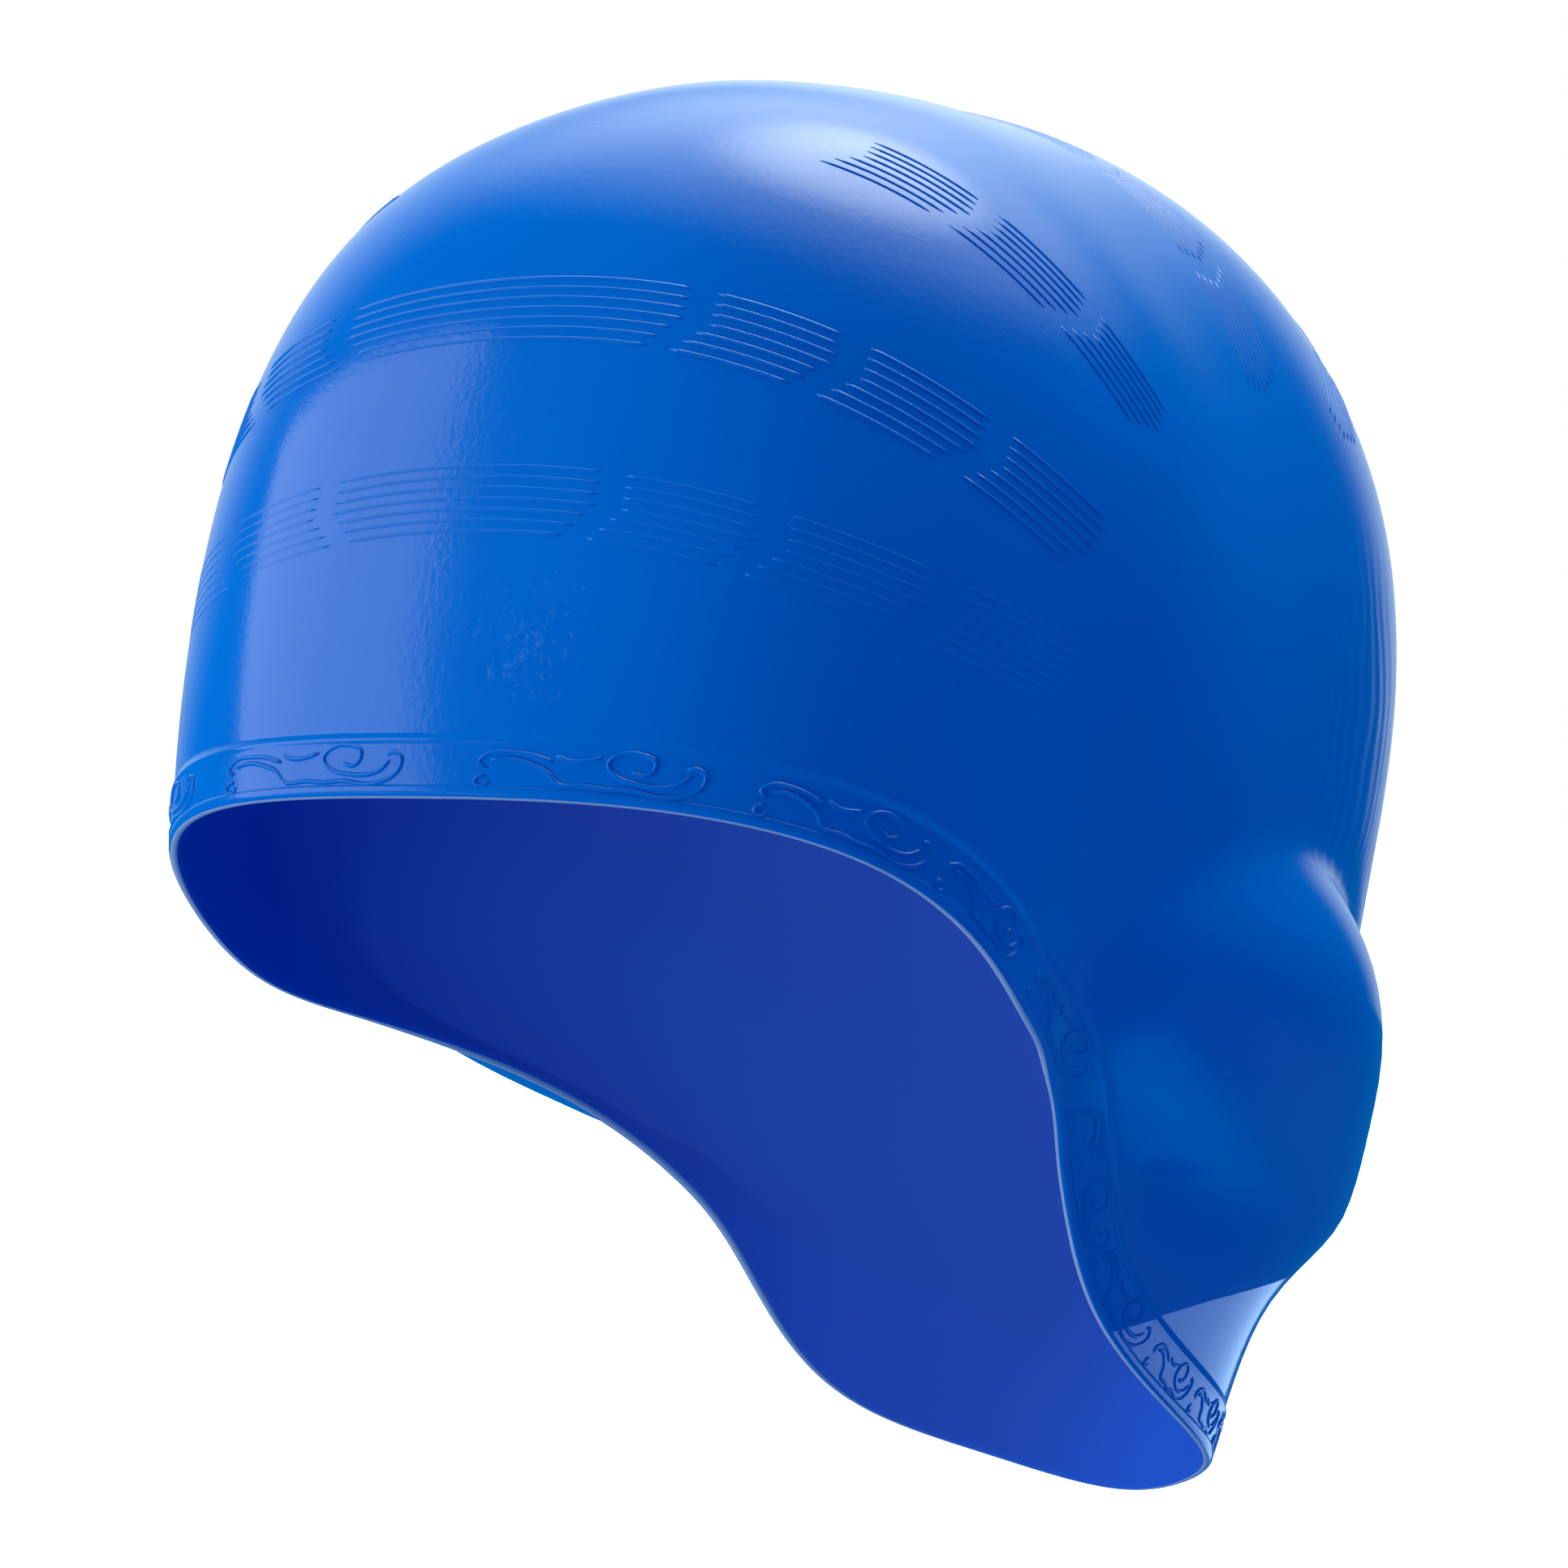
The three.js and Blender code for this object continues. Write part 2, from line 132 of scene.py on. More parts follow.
# The scroll relief on the band: strokes of one motif, each point as a distance along the hem and one in
# from its edge, and the motifs' places, each a start along the hem and a length. Distances along the hem
# run from the middle of the forehead, and grow over the wearer's left side. A stroke has at least
# STROKE_POINTS points, about STROKE_STEP apart.
STROKE_WIDTH = 0.85
STROKE_HEIGHT = 0.38
STROKE_STEP, STROKE_POINTS = 0.55, 8
MOTIF_LENGTH = 23.4
STROKES = {
    "leaf_top": ((1.0, 4.1), (0.1, 4.7), (0.9, 5.8), (3.2, 6.3), (5.8, 6.0), (8.2, 5.1)),
    "leaf_tip": ((8.5, 6.0), (9.6, 5.5), (11.4, 5.5), (13.2, 6.1)),
    "stem": ((1.3, 5.0), (3.5, 5.4), (6.0, 4.7), (7.8, 3.6), (8.8, 2.3), (11.5, 2.2), (13.8, 1.9),
             (16.4, 2.1), (18.0, 1.8), (19.6, 1.6), (21.6, 2.2), (23.1, 3.7), (23.3, 5.2), (22.4, 6.1),
             (21.5, 5.7)),
    "swirl": ((21.9, 4.9), (21.0, 3.7), (19.0, 2.9), (16.6, 3.1), (14.7, 3.9), (13.9, 5.3), (15.0, 6.8),
              (17.0, 7.1), (18.5, 6.1), (18.3, 4.8), (17.2, 4.2), (16.3, 4.6)),
    "bud": ((1.0, 2.9), (0.2, 2.9), (-0.3, 2.1), (0.3, 1.5), (1.1, 1.6), (1.3, 2.3)),
}
MOTIFS = (
    (-294, 15), (-274, 17), (-252, 19), (-228, 22), (-200, 26), (-166, 32), (-126, 36), (-84, 35), (-38, 36),
    (11, 33.5), (51.6, 23.4), (77.7, 18), (103.5, 41), (158, 41), (200.5, 22), (225.5, 14), (242, 13),
    (258, 16), (277, 16),
)

# How finely the skin is drawn
COLUMNS = 400
OUTER_ROWS = 100
INNER_ROWS = 50
LIP_STEPS = 8
HEM_SAMPLES = 1440
BAND_COLUMNS = 360
BAND_GRID_STEP = 0.5
NUDGE = 0.004
WALK_STEP = 1.5
# How finely round and down, from which share of the way down and how often the surface is measured to fit
# it to the solid's box
FIT_AROUND, FIT_DOWN, FIT_TOP, FIT_ROUNDS = 181, 120, 0.02, 4

UNIT = np.array([FIRST_UNIT] * 3)


def spline(xs, ys):
    """Natural cubic spline through the points (xs, ys)"""
    xs, ys = np.asarray(xs, float), np.asarray(ys, float)
    n = len(xs)
    bend, work = np.zeros(n), np.zeros(n)
    for i in range(1, n - 1):
        share = (xs[i] - xs[i - 1]) / (xs[i + 1] - xs[i - 1])
        p = share * bend[i - 1] + 2
        rise = (ys[i + 1] - ys[i]) / (xs[i + 1] - xs[i]) - (ys[i] - ys[i - 1]) / (xs[i] - xs[i - 1])
        bend[i] = (share - 1) / p
        work[i] = (6 * rise / (xs[i + 1] - xs[i - 1]) - share * work[i - 1]) / p
    for i in range(n - 2, -1, -1):
        bend[i] = bend[i] * bend[i + 1] + work[i]

    def value(x):
        x = np.asarray(x, float)
        k = np.clip(np.searchsorted(xs, x) - 1, 0, n - 2)
        h = xs[k + 1] - xs[k]
        a, b = (xs[k + 1] - x) / h, (x - xs[k]) / h
        return a * ys[k] + b * ys[k + 1] + ((a**3 - a) * bend[k] + (b**3 - b) * bend[k + 1]) * h * h / 6

    return value


def smooth(t):
    c = np.clip(t, 0, 1)
    return c * c * (3 - 2 * c)


def dome_terms():
    """The dome's rows as sums of cosines round the head, each term a spline of the angle down"""
    columns = np.array(list(DOME.values()))
    last = len(columns) - 1
    ends = np.array([0.5] + [1] * (last - 1) + [0.5])
    down = np.radians(DOME_DOWN)
    terms = []
    for k in range(last + 1):
        wave = np.cos(np.pi * np.arange(last + 1) * k / last)
        row = (ends * wave) @ columns * 2 / last * ends[k]
        mirror = 1 if k % 2 == 0 else -1
        crown = CROWN if k == 0 else 0
        xs = np.concatenate([-down[::-1], [0], down])
        ys = np.concatenate([row[::-1] * mirror, [crown], row])
        terms.append(spline(xs, ys))
    return terms


TERMS = dome_terms()


def dome(around, down):
    return sum(term(down) * np.cos(k * around) for k, term in enumerate(TERMS))


def hem_samples():
    """Around, down and reach of the hem on the wearer's left, evenly along its length"""
    points = np.array([HEM["out"], HEM["fore"], HEM["up"]]).T
    along = np.concatenate([[0], np.cumsum(np.linalg.norm(np.diff(points, axis=0), axis=1))])
    total = along[-1]
    at = np.linspace(0, total, HEM_SAMPLES + 1)

    def wrapped(values, sign):
        xs = np.concatenate([-along[:0:-1], along, 2 * total - along[-2::-1]])
        ys = np.concatenate([sign * values[:0:-1], values, sign * values[-2::-1]])
        return spline(xs, ys)(at)

    out, fore, up = wrapped(points[:, 0], -1), wrapped(points[:, 1], 1), wrapped(points[:, 2], 1)
    around = np.arctan2(out, fore)
    around[0], around[-1] = 0, np.pi
    reach = np.sqrt(out**2 + fore**2 + up**2)
    return around, np.arccos(up / reach), reach


HEM_AROUND, HEM_DOWN, HEM_REACH = hem_samples()


def pocket(around, down):
    """How far the ear pocket lifts the surface, in head units"""
    drop = down - math.radians(POCKET["down"])
    turn = (np.abs(around) - math.radians(POCKET["around"])) * np.sin(down) + POCKET["lean"] * drop
    across = turn / np.radians(np.where(turn < 0, POCKET["front"], POCKET["rear"]))
    along = drop / np.radians(np.where(drop < 0, POCKET["above"], POCKET["below"]))
    soft = CREASE_ROUNDNESS / UNIT.mean()
    return soft * np.logaddexp(0, POCKET_DEPTH / UNIT.mean() * (1 - across**2 - along**2) / soft)


def surface(around, down):
    """Points of the outer surface in millimetres, before its relief"""
    a = np.arctan2(np.sin(around), np.cos(around))
    hem_down = np.interp(np.abs(a), HEM_AROUND, HEM_DOWN)
    hem_reach = np.interp(np.abs(a), HEM_AROUND, HEM_REACH)
    share = down / hem_down
    bend = np.clip((share - BEND_FROM) / (1 - BEND_FROM), 0, 1) ** BEND_POWER
    bent = (hem_reach - dome(a, hem_down)) * bend
    fade = 1 - smooth((share - 1 + POCKET_FADE) / POCKET_FADE)
    nape = smooth((np.abs(a) - math.radians(TUCK["start"])) / math.radians(TUCK["full"] - TUCK["start"]))
    tuck = NAPE_TUCK / UNIT.mean() * nape * np.exp(-(((share - TUCK["at"]) / TUCK["width"]) ** 2))
    reach = dome(a, down) + bent + pocket(a, down) * fade - tuck
    x = reach * np.sin(down) * np.sin(a)
    y = -reach * np.sin(down) * np.cos(a)
    z = reach * np.cos(down)
    return np.stack([x, y, z], -1) * UNIT - [0, 0, CROWN * UNIT[2] - WALL]


def fitted_units():
    """Millimetres per head unit each way, so that the surface fills the solid's box"""
    global UNIT
    solid = (SHELL_HIGH - SHELL_LOW) / MM - RELIEF_AT_BOX
    around, share = np.meshgrid(np.linspace(0, np.pi, FIT_AROUND), np.linspace(FIT_TOP, 1, FIT_DOWN))
    down = share * np.interp(around, HEM_AROUND, HEM_DOWN)
    for _ in range(FIT_ROUNDS):
        points = surface(around, down)
        size = points.max((0, 1)) - points.min((0, 1))
        size[0] = 2 * points[..., 0].max()
        UNIT = UNIT * solid / size


fitted_units()


def unit(vectors):
    return vectors / (np.linalg.norm(vectors, axis=-1, keepdims=True) + 1e-12)


def tangents(around, down):
    """The surface's tangents around and down, and its outward normal"""
    a = (surface(around + NUDGE, down) - surface(around - NUDGE, down)) / (2 * NUDGE)
    d = (surface(around, down + NUDGE) - surface(around, down - NUDGE)) / (2 * NUDGE)
    return a, d, unit(np.cross(d, a))


def walk(around, down, direction, distance):
    """Places reached over the surface from (around, down) in a direction, by a distance in millimetres"""
    steps = max(1, math.ceil(abs(distance) / WALK_STEP))
    for _ in range(steps):
        a, d, normal = tangents(around, down)
        flat = unit(direction - (direction * normal).sum(-1, keepdims=True) * normal)
        aa, ad, dd = (a * a).sum(-1), (a * d).sum(-1), (d * d).sum(-1)
        det = aa * dd - ad * ad
        fa, fd = (flat * a).sum(-1), (flat * d).sum(-1)
        around = around + distance / steps * (fa * dd - fd * ad) / det
        down = down + distance / steps * (fd * aa - fa * ad) / det
    return around, down


def hem_frame(count):
    """Evenly spaced hem places all the way round, with the direction from each into the cap"""
    half = count // 2
    index = np.round(np.arange(half + 1) * HEM_SAMPLES / half).astype(int)
    points = surface(HEM_AROUND, HEM_DOWN)
    along = np.gradient(points, axis=0)
    along[0] = along[-1] = (1, 0, 0)
    normal = tangents(HEM_AROUND, HEM_DOWN - NUDGE)[2]
    inward = unit(np.cross(normal, along))
    inward *= np.where(inward[:, 2:] < 0, -1, 1)
    around, down, inward = HEM_AROUND[index], HEM_DOWN[index], inward[index]
    mirror = slice(half - 1, 0, -1)
    around = np.concatenate([around, -around[mirror]])
    down = np.concatenate([down, down[mirror]])
    inward = np.concatenate([inward, inward[mirror] * [-1, 1, 1]])
    return around, down, inward


def band_rise(distance):
    """The relief's height over the surface at a distance from the hem"""
    step = smooth((BAND_WIDTH - distance) / BAND_STEP + 0.5)
    border = np.exp(-(((distance - BAND_WIDTH + BORDER_WIDTH) / (BORDER_WIDTH / 2)) ** 2))
    bead = np.sqrt(np.clip(1 - ((distance - BEAD_WIDTH / 2) / (BEAD_WIDTH / 2)) ** 2, 0, 1))
    return BAND_RISE * step + BORDER_RISE * border + BEAD_RISE * bead


# Distances in from the hem of the rows of points on the band: close together over its upper edge, wider
# apart over its flat, and close together over the bead; and those on the inside
EDGE_SPACING, FLAT_SPACING, BEAD_SPACING = 0.16, 0.6, 0.12
BAND_STATIONS = np.concatenate([
    np.arange(BAND_WIDTH + 1.0, BAND_WIDTH - 1.8, -EDGE_SPACING),
    np.arange(BAND_WIDTH - 2.0, BEAD_WIDTH + 0.4, -FLAT_SPACING),
    np.arange(BEAD_WIDTH + 0.3, 0.5, -BEAD_SPACING),
])
INNER_STATIONS = (1.2, 2.4, 4.5, BAND_WIDTH)


def outward(around, down, offset):
    """Points of the surface moved outward"""
    points = surface(around, down)
    return points + tangents(around, down)[2] * offset


def skin_grid():
    """Rows of points, down the outside, round the lip and up the inside, and the row where the lip starts"""
    around, down, inward = hem_frame(COLUMNS)
    rows = []
    first = BAND_STATIONS[0]
    top_around, top_down = walk(around, down, inward, first)
    for i in range(1, OUTER_ROWS):
        rows.append(outward(top_around, top_down * i / OUTER_ROWS, 0.0))
    for distance in BAND_STATIONS:
        rows.append(outward(*walk(around, down, inward, distance), band_rise(distance)))
    lip_around, lip_down = walk(around, down, inward, BAND_STATIONS[-1])
    normal = tangents(lip_around, lip_down)[2]
    outer = rows[-1]
    inner = surface(lip_around, lip_down) - normal * WALL
    centre = (outer + inner) / 2
    radius = np.linalg.norm(outer - inner, axis=1, keepdims=True) / 2
    along_lip = unit(inward - (inward * normal).sum(-1, keepdims=True) * normal)
    for i in range(1, LIP_STEPS + 1):
        angle = math.pi * i / LIP_STEPS
        rows.append(centre + radius * (normal * math.cos(angle) - along_lip * math.sin(angle)))
    for distance in INNER_STATIONS:
        rows.append(outward(*walk(around, down, inward, distance), -WALL))
    for i in range(INNER_ROWS - 1, 0, -1):
        rows.append(outward(top_around, top_down * i / INNER_ROWS, -WALL))
    return np.array(rows), OUTER_ROWS - 2 + len(BAND_STATIONS)


def make_object(name, vertices, faces, materials, face_material=None):
    mesh = bpy.data.meshes.new(name)
    mesh.from_pydata((np.asarray(vertices) * MM).tolist(), [], faces)
    for material in materials:
        mesh.materials.append(material)
    mesh.polygons.foreach_set("use_smooth", [True] * len(mesh.polygons))
    if face_material is not None:
        mesh.polygons.foreach_set("material_index", face_material)
    mesh.update()
    obj = bpy.data.objects.new(name, mesh)
    bpy.context.scene.collection.objects.link(obj)
    return obj


# The skin's material slots; the third, on the lip's cut edge, is a pale grey painted highlight
OUTSIDE, INSIDE, EDGE_HIGHLIGHT = 0, 1, 2


def make_skin(outer_material, inner_shade_and_glow_material, edge_highlight_material):
    """The whole wall, with its outside, its inside and the pale line of its trimmed edge, which is a painted
    highlight
    """
    rows, lip = skin_grid()
    trimmed = range(lip + LIP_STEPS // 4, lip + LIP_STEPS * 5 // 8)
    count, columns = rows.shape[:2]
    crown = np.array([[0, 0, WALL]])
    vertices = np.concatenate([crown, rows.reshape(-1, 3), np.zeros((1, 3))])
    faces, slots = [], []
    end = len(vertices) - 1
    for j in range(columns):
        k = (j + 1) % columns
        faces.append((0, 1 + j, 1 + k))
        slots.append(OUTSIDE)
        for i in range(count - 1):
            a, b = 1 + i * columns, 1 + (i + 1) * columns
            faces.append((a + j, b + j, b + k, a + k))
            slots.append(EDGE_HIGHLIGHT if i in trimmed else OUTSIDE if i < trimmed[0] else INSIDE)
        last = 1 + (count - 1) * columns
        faces.append((last + j, end, last + k))
        slots.append(INSIDE)
    materials = [outer_material, inner_shade_and_glow_material, edge_highlight_material]
    return make_object("cap_skin", vertices, faces, materials, slots)


# The section of a raised line: across as shares of its width, and up as shares of its height
LINE_ACROSS = (-0.5, -0.32, -0.16, 0, 0.16, 0.32, 0.5)
LINE_UP = (0.0, 0.38, 0.84, 1.0, 0.84, 0.38, 0.0)
# How far a line is sunk into the surface, and how deep its root reaches
LINE_SINK, LINE_ROOT = 0.06, 0.3
# A line's width at its tips as a share, the length over which a tip rounds off, and where that starts
TIP_WIDTH, TIP_LENGTH, TIP_START = 0.5, 1.2, 0.1


def raised_line(points, normals, widths, heights):
    """A closed bar with a bell-shaped back along points of the surface"""
    forward = unit(np.gradient(points, axis=0))
    side = unit(np.cross(forward, normals))
    rings = []
    for across, up in zip(LINE_ACROSS, LINE_UP):
        lift = heights * up - LINE_SINK
        rings.append(points + side * (widths * across)[:, None] + normals * lift[:, None])
    for across in (LINE_ACROSS[-1], LINE_ACROSS[0]):
        rings.append(points + side * (widths * across)[:, None] - normals * LINE_ROOT)
    sides = len(rings)
    vertices = np.array(rings).transpose(1, 0, 2).reshape(-1, 3)
    faces = []
    for i in range(len(points) - 1):
        a, b = i * sides, (i + 1) * sides
        for k in range(sides):
            m = (k + 1) % sides
            faces.append((a + k, b + k, b + m, a + m))
    faces.append(tuple(range(sides)))
    faces.append(tuple(range(len(vertices) - 1, len(vertices) - 1 - sides, -1)))
    return vertices, faces


def joined(name, parts, material):
    vertices, faces, start = [], [], 0
    for part_vertices, part_faces in parts:
        vertices.append(part_vertices)
        faces += [tuple(start + k for k in face) for face in part_faces]
        start += len(part_vertices)
    return make_object(name, np.concatenate(vertices), faces, [material])


def band_grid():
    """Points and normals on the band, by distance along the hem and in from its edge"""
    around, down, inward = hem_frame(2 * BAND_COLUMNS)
    depths = np.arange(0, BAND_WIDTH + BAND_GRID_STEP, BAND_GRID_STEP)
    points, normals = [], []
    for depth in depths:
        a, d = walk(around, down, inward, depth)
        normal = tangents(a, d)[2]
        points.append(surface(a, d) + normal * BAND_RISE)
        normals.append(normal)
    hem = surface(around, down)
    half = np.linalg.norm(np.diff(hem[:BAND_COLUMNS + 1], axis=0), axis=1)
    along = np.concatenate([[0], np.cumsum(half)])
    return np.array(points), np.array(normals), depths, along


def on_band(grid, along_hem, depth):
    """Points and unit normals at places on the band"""
    points, normals, depths, along = grid
    column = np.interp(np.abs(along_hem), along, np.arange(len(along)))
    column = np.where(along_hem < 0, 2 * BAND_COLUMNS - column, column)
    row = np.interp(depth, depths, np.arange(len(depths)))
    j, i = np.floor(column).astype(int), np.minimum(np.floor(row).astype(int), len(depths) - 2)
    u, v = (column - j)[:, None], (row - i)[:, None]
    left, right = j % (2 * BAND_COLUMNS), (j + 1) % (2 * BAND_COLUMNS)

    def mixed(table):
        low = table[i, left] * (1 - u) + table[i, right] * u
        high = table[i + 1, left] * (1 - u) + table[i + 1, right] * u
        return low * (1 - v) + high * v

    return mixed(points), unit(mixed(normals))


def round_ends(points):
    """One along a line of points, and less towards its two tips"""
    along = np.concatenate([[0], np.cumsum(np.linalg.norm(np.diff(points, axis=0), axis=1))])
    end = np.minimum(along, along[-1] - along)
    return np.sqrt(np.clip(1 - (1 - np.clip((end + TIP_START) / TIP_LENGTH, 0, 1)) ** 2, 0, 1))


def tapered_line(points, normals, width, height):
    """A raised line that is narrower and lower at its tips"""
    taper = round_ends(points)
    return raised_line(points, normals, width * (TIP_WIDTH + (1 - TIP_WIDTH) * taper), height * taper)


def make_scroll(material):
    """The running scroll on the band, the same way all round"""
    grid = band_grid()
    parts = []
    for start, length in MOTIFS:
        stretch = length / MOTIF_LENGTH
        for stroke in STROKES.values():
            drawn = np.array(stroke)
            real = drawn * (stretch, 1)
            chord = np.concatenate([[0], np.cumsum(np.linalg.norm(np.diff(real, axis=0), axis=1))])
            at = np.linspace(0, chord[-1], max(STROKE_POINTS, round(chord[-1] / STROKE_STEP)))
            along_hem = start + spline(chord, real[:, 0])(at)
            depth = spline(chord, real[:, 1])(at)
            points, normals = on_band(grid, along_hem, depth)
            parts.append(tapered_line(points, normals, STROKE_WIDTH, STROKE_HEIGHT))
    return joined("rim_scroll", parts, material)


def place_at(forward, sideways):
    """The place on the surface at an angle forward of the crown and an angle sideways"""
    x = np.sin(sideways)
    y = -np.cos(sideways) * np.sin(forward)
    z = np.cos(sideways) * np.cos(forward)
    return np.arctan2(x, -y), np.arccos(z)


def rib_places(row, sideways, distance):
    """Places in a row of ribs: sideways along it, and a distance down from its middle line"""
    def middle(s):
        return place_at(np.radians(row["tilt"] + row["sweep"] * (s / math.radians(SWEEP_ANGLE)) ** 2), s)

    around, down = middle(sideways)
    if distance == 0:
        return around, down
    along = surface(*middle(sideways + NUDGE)) - surface(around, down)
    normal = tangents(around, down)[2]
    away = unit(np.cross(along, normal)) * math.copysign(1, row["tilt"])
    return walk(around, down, away, distance)


def rib_group(row, low, high, relief):
    """The ribs of one group, whose ends step inward below the middle rib"""
    parts = []
    shared = low < 0 < high
    middle = (low + high) / 2
    per_degree = math.radians(1) * UNIT.mean()
    for k in range(RIBS):
        share = (k - (RIBS - 1) / 2) / (RIBS / 2)
        shift = (END_FIRST * -share if share < 0 else END_LAST * share) / per_degree
        side = math.copysign(1, middle)
        start = low + shift * (-1 if shared else side)
        stop = high + shift * (1 if shared else side)
        length = (stop - start) * math.radians(1) * UNIT.mean()
        sideways = np.radians(np.linspace(start, stop, max(RIB_POINTS, round(length / RIB_STEP))))
        around, down = rib_places(row, sideways, share * RIBS / 2 * RIB_PITCH)
        points, normals = surface(around, down), tangents(around, down)[2]
        parts.append(tapered_line(points, normals, RIB_WIDTH, RIB_HEIGHT * relief))
    return parts


def make_ribs(material):
    pieces = []
    for row in RIB_ROWS:
        middle_relief, side_relief = row["relief"]
        parts = rib_group(row, -row["middle"], row["middle"], middle_relief)
        for k in range(row["sides"]):
            low = row["middle"] + row["gap"] + k * (row["group"] + row["gap"])
            parts += rib_group(row, low, low + row["group"], side_relief)
            parts += rib_group(row, -low - row["group"], -low, side_relief)
        pieces.append(joined("ribs_" + row["name"], parts, material))
    return pieces


# The silicones: darker and lighter blue, roughness, strength of the grain and specular level
OUTSIDE_LOOK = {
    "deep": (0.0, 0.165, 0.58), "light": (0.0, 0.185, 0.62), "roughness": 0.12, "grain": 0.12, "shine": 0.5,
}
# The inside: the same blue silicone, matte, with its blues darkened as painted shade
SHADED_INSIDE_LOOK = {
    "deep": (0.0, 0.05, 0.36), "light": (0.0, 0.06, 0.39), "roughness": 0.55, "grain": 0.1, "shine": 0.05,
}
# The lip's cut edge: a pale grey that is a painted highlight along the trimmed edge
EDGE_HIGHLIGHT_LOOK = {
    "deep": (0.34, 0.4, 0.58), "light": (0.4, 0.46, 0.62), "roughness": 0.4, "grain": 0.1, "shine": 0.5,
}
SILICONE_IOR = 1.43
# Scale and detail of each noise: the clouds of the two blues, the smudges in the gloss, and the grain
CLOUDS, SMUDGES, GRAIN = (22, 5), (60, 6), (900, 3)
# Where in the clouds one blue passes into the other, how far the smudges spread the roughness, and how high
# a bump is in metres
CLOUD_EDGES, SMUDGE_SPREAD, BUMP_DISTANCE = (0.3, 0.7), (0.8, 1.3), 0.0002


def silicone(name, deep, light, roughness, grain, shine):
    """Blue silicone: two blues in soft clouds, smudged gloss and a fine moulded grain"""
    material = bpy.data.materials.new(name)
    material.use_nodes = True
    nodes, links = material.node_tree.nodes, material.node_tree.links
    shader = nodes["Principled BSDF"]
    shader.inputs["IOR"].default_value = SILICONE_IOR
    shader.inputs["Specular IOR Level"].default_value = shine
    place = nodes.new("ShaderNodeTexCoord")
    clouds = nodes.new("ShaderNodeTexNoise")
    clouds.inputs["Scale"].default_value, clouds.inputs["Detail"].default_value = CLOUDS
    links.new(place.outputs["Object"], clouds.inputs["Vector"])
    blues = nodes.new("ShaderNodeValToRGB")
    blues.color_ramp.elements[0].position, blues.color_ramp.elements[1].position = CLOUD_EDGES
    blues.color_ramp.elements[0].color = (*deep, 1)
    blues.color_ramp.elements[1].color = (*light, 1)
    links.new(clouds.outputs["Fac"], blues.inputs["Fac"])
    links.new(blues.outputs["Color"], shader.inputs["Base Color"])
    smudges = nodes.new("ShaderNodeTexNoise")
    smudges.inputs["Scale"].default_value, smudges.inputs["Detail"].default_value = SMUDGES
    links.new(place.outputs["Object"], smudges.inputs["Vector"])
    gloss = nodes.new("ShaderNodeMapRange")
    gloss.inputs["To Min"].default_value = roughness * SMUDGE_SPREAD[0]
    gloss.inputs["To Max"].default_value = roughness * SMUDGE_SPREAD[1]
    links.new(smudges.outputs["Fac"], gloss.inputs["Value"])
    links.new(gloss.outputs["Result"], shader.inputs["Roughness"])
    fine = nodes.new("ShaderNodeTexNoise")
    fine.inputs["Scale"].default_value, fine.inputs["Detail"].default_value = GRAIN
    links.new(place.outputs["Object"], fine.inputs["Vector"])
    bump = nodes.new("ShaderNodeBump")
    bump.inputs["Strength"].default_value = grain
    bump.inputs["Distance"].default_value = BUMP_DISTANCE
    links.new(fine.outputs["Fac"], bump.inputs["Height"])
    links.new(bump.outputs["Normal"], shader.inputs["Normal"])
    return material


# Chalky wear on the forehead: its middle and how far it reaches, in metres
WEAR_AT, WEAR_REACH = (0.016, -0.095, -0.085), 0.014
# The specks' noise, how much closer they gather there, the range of the noise that turns into marks, how
# much of the blue these cover at most, and their colour
WEAR_NOISE, WEAR_GATHER, WEAR_RANGE, WEAR_MOST = (700, 7, 0.8), 0.13, (0.62, 0.9), 0.3
WEAR_COLOUR = (0.35, 0.55, 0.85, 1)
# Ripples above the left ear pocket: how many fill a full turn, the direction they are strongest in and how
# far round they reach, the height they are strongest at and how far up and down they reach
RIPPLES, RIPPLE_SWAY = 100, 0.6
RIPPLES_AT, RIPPLES_REACH = 121, 18
RIPPLES_HEIGHT, RIPPLES_SPAN = -0.098, 0.034
# The noise they sway by, and their strength
RIPPLE_NOISE, RIPPLE_STRENGTH = (14, 2), 0.24


class Nodes:
    """New nodes in a material, with their inputs set or linked"""

    def __init__(self, material):
        self.nodes, self.links = material.node_tree.nodes, material.node_tree.links
        self.shader = self.nodes["Principled BSDF"]
        self.place = self.nodes.new("ShaderNodeTexCoord").outputs["Object"]

    def add(self, kind, inputs, output, operation=None):
        node = self.nodes.new(kind)
        if operation:
            node.operation = operation
        for key, value in inputs.items():
            if isinstance(value, bpy.types.NodeSocket):
                self.links.new(value, node.inputs[key])
            else:
                node.inputs[key].default_value = value
        return node.outputs[output]

    def math(self, operation, *values):
        return self.add("ShaderNodeMath", dict(enumerate(values)), "Value", operation)

    def noise(self, scale, detail, roughness=0.5):
        inputs = {"Vector": self.place, "Scale": scale, "Detail": detail, "Roughness": roughness}
        return self.add("ShaderNodeTexNoise", inputs, "Fac")

    def ranged(self, value, low, high, to_low, to_high):
        inputs = {"Value": value, "From Min": low, "From Max": high, "To Min": to_low, "To Max": to_high}
        return self.add("ShaderNodeMapRange", inputs, "Result")

    def near(self, value, middle, reach, most):
        """The most at a middle value, and nothing beyond a reach from it"""
        away = self.math("ABSOLUTE", self.math("SUBTRACT", value, middle))
        return self.ranged(away, 0.0, reach, most, 0.0)


